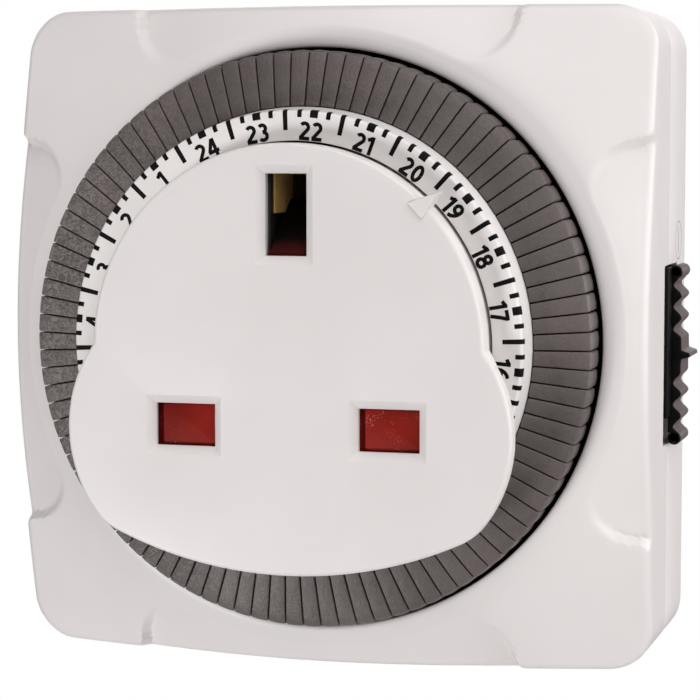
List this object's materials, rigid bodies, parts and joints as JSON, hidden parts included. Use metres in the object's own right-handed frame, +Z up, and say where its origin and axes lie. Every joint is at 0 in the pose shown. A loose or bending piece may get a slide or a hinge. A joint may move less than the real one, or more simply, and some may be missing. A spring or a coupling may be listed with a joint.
{
  "type": "plug in timer switch",
  "caption": "Square plug-in timer switch with a turning segment dial round a three-pin socket, side override slider and plug pins behind.",
  "frame": {"origin": "centre of the rear (wall) face, on the dial axis", "axes": "+Y along the plug pins into the wall, the dial faces -Y, +Z up towards the earth pin, +X to the right as seen from the front"},
  "size_m": [0.0743, 0.0631, 0.0718],
  "materials": {
    "white_plastic": "semi-gloss moulded thermoset",
    "ring_white": "smooth with black printed hours",
    "segment_grey": "matt moulded",
    "black_plastic": "matt moulded",
    "shutter_red": "matt, scuffed",
    "inner_plastic": "matt moulded",
    "gear_plastic": "matt acetal",
    "brass": "satin",
    "steel": "zinc plated",
    "switch_black": "matt moulded",
    "wire_brown": "insulation"
  },
  "bodies": {
    "housing": {"front_cover": "white_plastic", "rear_housing": "white_plastic", "socket_face": "white_plastic", "chassis": "inner_plastic", "bearing_tube": "inner_plastic", "aperture_guide": "inner_plastic", "contact_carrier": "inner_plastic", "drive_arbor": "steel", "motor_can": "steel", "motor_screws": "steel", "shutter_spring": "steel", "live_contact": "brass", "neutral_contact": "brass", "earth_contact": "brass", "live_pin": "brass", "neutral_pin": "brass", "earth_pin": "brass", "live_pin_sleeve": "black_plastic", "neutral_pin_sleeve": "black_plastic", "live_wire": "wire_brown", "load_wire": "wire_brown", "switch_body": "switch_black", "switch_terminals": "brass", "lever_pin": "steel", "override_blades": "brass", "housing_screws": "steel", "socket_screws": "steel"},
    "dial": {"hour_ring": "ring_white", "time_segments": "segment_grey", "segment_carrier": "black_plastic", "dial_gear": "gear_plastic"},
    "segment_1": {"time_segment_1": "segment_grey"},
    "segment_2": {"time_segment_2": "segment_grey"},
    "segment_3": {"time_segment_3": "segment_grey"},
    "segment_4": {"time_segment_4": "segment_grey"},
    "drive": {"drive_gear": "gear_plastic"},
    "motor_shaft": {"motor_pinion": "gear_plastic"},
    "lever": {"switch_lever": "gear_plastic"},
    "plunger": {"switch_plunger": "inner_plastic"},
    "override": {"override_slider": "black_plastic", "override_bridge": "brass"},
    "shutter": {"shutter": "shutter_red"}
  },
  "joints": [
    {"name": "dial_spin", "type": "hinge", "parent": "housing", "child": "dial", "pos_m": [0, -0.02, 0], "axis": [0, 1, 0], "continuous": true},
    {"name": "segment_1_push", "type": "slide", "parent": "dial", "child": "segment_1", "axis": [0, 1, 0], "range_m": [0, 0.0022]},
    {"name": "segment_2_push", "type": "slide", "parent": "dial", "child": "segment_2", "axis": [0, 1, 0], "range_m": [0, 0.0022]},
    {"name": "segment_3_push", "type": "slide", "parent": "dial", "child": "segment_3", "axis": [0, 1, 0], "range_m": [0, 0.0022]},
    {"name": "segment_4_push", "type": "slide", "parent": "dial", "child": "segment_4", "axis": [0, 1, 0], "range_m": [0, 0.0022]},
    {"name": "drive_spin", "type": "hinge", "parent": "housing", "child": "drive", "pos_m": [-0.02291, -0.019, -0.02291], "axis": [0, 1, 0], "continuous": true},
    {"name": "motor_spin", "type": "hinge", "parent": "housing", "child": "motor_shaft", "pos_m": [-0.01311, -0.017, -0.02291], "axis": [0, 1, 0], "continuous": true},
    {"name": "lever_swing", "type": "hinge", "parent": "housing", "child": "lever", "pos_m": [0.0305, -0.0171, 0.012], "axis": [1, 0, 0], "range_deg": [0, 7], "stiffness_Nm_per_rad": 0.01},
    {"name": "plunger_press", "type": "slide", "parent": "housing", "child": "plunger", "axis": [0, 1, 0], "range_m": [0, 0.0012]},
    {"name": "override_slide", "type": "slide", "parent": "housing", "child": "override", "axis": [0, 0, -1], "range_m": [0, 0.0025]},
    {"name": "shutter_slide", "type": "slide", "parent": "housing", "child": "shutter", "axis": [0, 0, -1], "range_m": [0, 0.0055], "stiffness_N_per_m": 60, "springref_m": -0.002, "deforming": ["shutter_spring"]}
  ],
  "couplings": [
    {"joint": "drive_spin", "follows": "dial_spin", "ratio": -8},
    {"joint": "motor_spin", "follows": "dial_spin", "ratio": 29.333},
    {"joint": "plunger_press", "follows": "lever_swing", "m_per_rad": 0.008}
  ]
}
